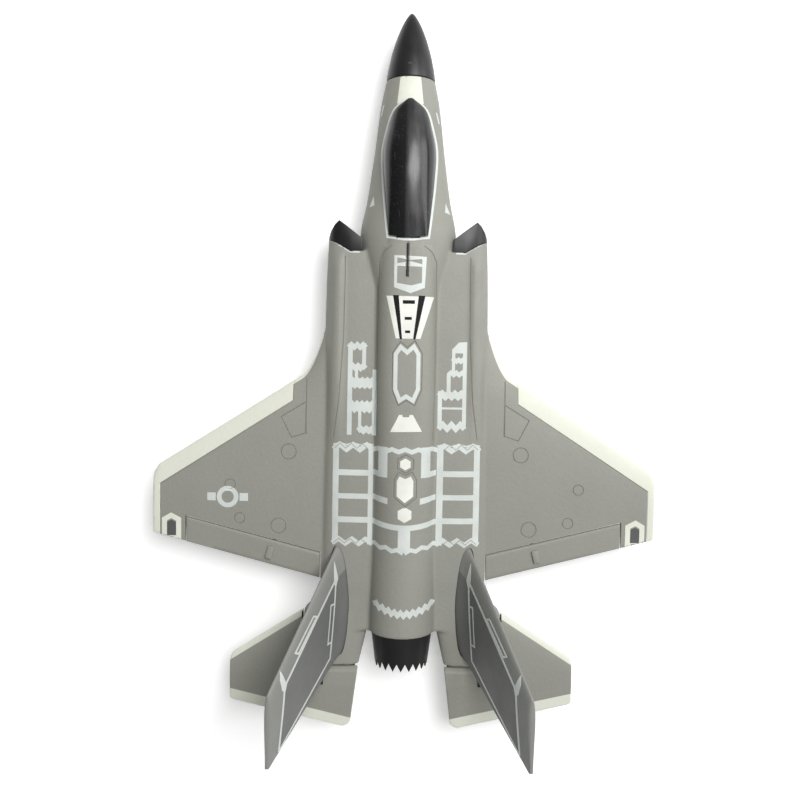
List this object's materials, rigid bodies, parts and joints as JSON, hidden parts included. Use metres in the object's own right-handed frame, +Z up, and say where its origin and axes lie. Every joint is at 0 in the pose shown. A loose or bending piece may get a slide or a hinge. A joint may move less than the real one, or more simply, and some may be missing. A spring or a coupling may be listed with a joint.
{
  "type": "rc foam airplane",
  "caption": "Small foam radio-controlled jet model with canted twin fins, working ailerons and tailplanes, a ducted fan and a lift-off canopy.",
  "frame": {"origin": "on the belly's resting face, in the plane of symmetry, below the wing spars", "axes": "nose towards -Y, left wing towards +X, +Z up"},
  "size_m": [0.32, 0.4582, 0.1042],
  "materials": {
    "grey_foam": "moulded bead foam, satin grey paint",
    "fin_foam": "moulded bead foam, satin blue-grey paint",
    "black_satin": "satin black plastic",
    "black_gloss": "glossy black vacuum-formed plastic",
    "carbon": "pultruded carbon",
    "steel": "plain steel",
    "aluminium": "turned aluminium",
    "nickel": "nickel plated magnet",
    "white_nylon": "moulded white nylon",
    "servo_blue": "translucent blue plastic",
    "battery_wrap": "heat-shrink film",
    "strap": "woven hook-and-loop strap",
    "lead": "silicone wire",
    "circuit": "circuit board in clear shrink wrap"
  },
  "bodies": {
    "airframe": {"upper_foam": "grey_foam", "lower_foam": "grey_foam", "nose_cone": "black_satin", "intake_lip_left": "black_satin", "intake_lip_right": "black_satin", "antenna_wire": "black_satin", "body_magnets": "nickel", "fin_left": "fin_foam", "fin_right": "fin_foam", "wing_spar_left": "carbon", "wing_spar_right": "carbon", "pivot_bearing_left": "white_nylon", "pivot_bearing_right": "white_nylon", "fan_housing": "black_satin", "fan_motor": "aluminium", "motor_screws": "steel", "thrust_tube": "carbon", "exhaust_nozzle": "black_satin", "battery": "battery_wrap", "battery_strap": "strap", "battery_lead": "lead", "speed_controller": "circuit", "receiver_board": "circuit", "tail_servo_left": "servo_blue", "tail_servo_right": "servo_blue", "wing_servo_left": "servo_blue", "wing_servo_right": "servo_blue"},
    "canopy": {"canopy_shell": "black_gloss", "canopy_base": "grey_foam", "canopy_magnets": "nickel"},
    "fan": {"fan_rotor": "black_satin", "fan_spinner": "aluminium", "motor_shaft": "steel"},
    "aileron_left": {"aileron_left": "grey_foam", "wing_horn_left": "black_satin", "wing_horn_plate_left": "black_satin"},
    "stabilizer_left": {"stabilizer_left": "grey_foam", "pivot_rod_left": "carbon", "tail_horn_left": "black_satin", "tail_horn_plate_left": "black_satin"},
    "tail_servo_arm_left": {"tail_servo_arm_left": "white_nylon"},
    "tail_pushrod_left": {"tail_pushrod_left": "steel"},
    "wing_servo_arm_left": {"wing_servo_arm_left": "white_nylon"},
    "wing_pushrod_left": {"wing_pushrod_left": "steel"},
    "aileron_right": {"aileron_right": "grey_foam", "wing_horn_right": "black_satin", "wing_horn_plate_right": "black_satin"},
    "stabilizer_right": {"stabilizer_right": "grey_foam", "pivot_rod_right": "carbon", "tail_horn_right": "black_satin", "tail_horn_plate_right": "black_satin"},
    "tail_servo_arm_right": {"tail_servo_arm_right": "white_nylon"},
    "tail_pushrod_right": {"tail_pushrod_right": "steel"},
    "wing_servo_arm_right": {"wing_servo_arm_right": "white_nylon"},
    "wing_pushrod_right": {"wing_pushrod_right": "steel"}
  },
  "joints": [
    {"name": "canopy_lift", "type": "slide", "parent": "airframe", "child": "canopy", "axis": [0, 0, 1], "range_m": [0, 0.06]},
    {"name": "fan_spin", "type": "hinge", "parent": "airframe", "child": "fan", "pos_m": [0, 0.0235, 0.0262], "axis": [0, 1, 0], "continuous": true},
    {"name": "aileron_left_hinge", "type": "hinge", "parent": "airframe", "child": "aileron_left", "pos_m": [0.0604, 0.0659, 0.0292], "axis": [0.9688, -0.248, 0], "range_deg": [-20, 20]},
    {"name": "stabilizer_left_pivot", "type": "hinge", "parent": "airframe", "child": "stabilizer_left", "pos_m": [0.0628, 0.1315, 0.0272], "axis": [1, 0, 0], "range_deg": [-15, 15]},
    {"name": "tail_servo_left_turn", "type": "hinge", "parent": "airframe", "child": "tail_servo_arm_left", "pos_m": [0.0515, 0.093, 0.0198], "axis": [1, 0, 0], "range_deg": [-27, 27]},
    {"name": "tail_pushrod_left_pin", "type": "hinge", "parent": "tail_servo_arm_left", "child": "tail_pushrod_left", "pos_m": [0.0515, 0.093, 0.0118], "axis": [1, 0, 0], "range_deg": [-25, 25]},
    {"name": "wing_servo_left_turn", "type": "hinge", "parent": "airframe", "child": "wing_servo_arm_left", "pos_m": [0.07377, 0.02325, 0.025], "axis": [0.9688, -0.248, 0], "range_deg": [-30, 30]},
    {"name": "wing_pushrod_left_pin", "type": "hinge", "parent": "wing_servo_arm_left", "child": "wing_pushrod_left", "pos_m": [0.07377, 0.02325, 0.017], "axis": [0.9688, -0.248, 0], "range_deg": [-30, 30]},
    {"name": "aileron_right_hinge", "type": "hinge", "parent": "airframe", "child": "aileron_right", "pos_m": [-0.0604, 0.0659, 0.0292], "axis": [0.9688, 0.248, 0], "range_deg": [-20, 20]},
    {"name": "stabilizer_right_pivot", "type": "hinge", "parent": "airframe", "child": "stabilizer_right", "pos_m": [-0.0628, 0.1315, 0.0272], "axis": [1, 0, 0], "range_deg": [-15, 15]},
    {"name": "tail_servo_right_turn", "type": "hinge", "parent": "airframe", "child": "tail_servo_arm_right", "pos_m": [-0.0515, 0.093, 0.0198], "axis": [1, 0, 0], "range_deg": [-27, 27]},
    {"name": "tail_pushrod_right_pin", "type": "hinge", "parent": "tail_servo_arm_right", "child": "tail_pushrod_right", "pos_m": [-0.0515, 0.093, 0.0118], "axis": [1, 0, 0], "range_deg": [-25, 25]},
    {"name": "wing_servo_right_turn", "type": "hinge", "parent": "airframe", "child": "wing_servo_arm_right", "pos_m": [-0.07377, 0.02325, 0.025], "axis": [0.9688, 0.248, 0], "range_deg": [-30, 30]},
    {"name": "wing_pushrod_right_pin", "type": "hinge", "parent": "wing_servo_arm_right", "child": "wing_pushrod_right", "pos_m": [-0.07377, 0.02325, 0.017], "axis": [0.9688, 0.248, 0], "range_deg": [-30, 30]}
  ],
  "couplings": [
    {"joint": "tail_servo_left_turn", "follows": "stabilizer_left_pivot", "ratio": 1.59},
    {"joint": "tail_pushrod_left_pin", "follows": "stabilizer_left_pivot", "ratio": -1.44},
    {"joint": "wing_servo_left_turn", "follows": "aileron_left_hinge", "ratio": 1.37},
    {"joint": "wing_pushrod_left_pin", "follows": "aileron_left_hinge", "ratio": -1.33},
    {"joint": "tail_servo_right_turn", "follows": "stabilizer_right_pivot", "ratio": 1.59},
    {"joint": "tail_pushrod_right_pin", "follows": "stabilizer_right_pivot", "ratio": -1.44},
    {"joint": "wing_servo_right_turn", "follows": "aileron_right_hinge", "ratio": 1.37},
    {"joint": "wing_pushrod_right_pin", "follows": "aileron_right_hinge", "ratio": -1.33}
  ]
}
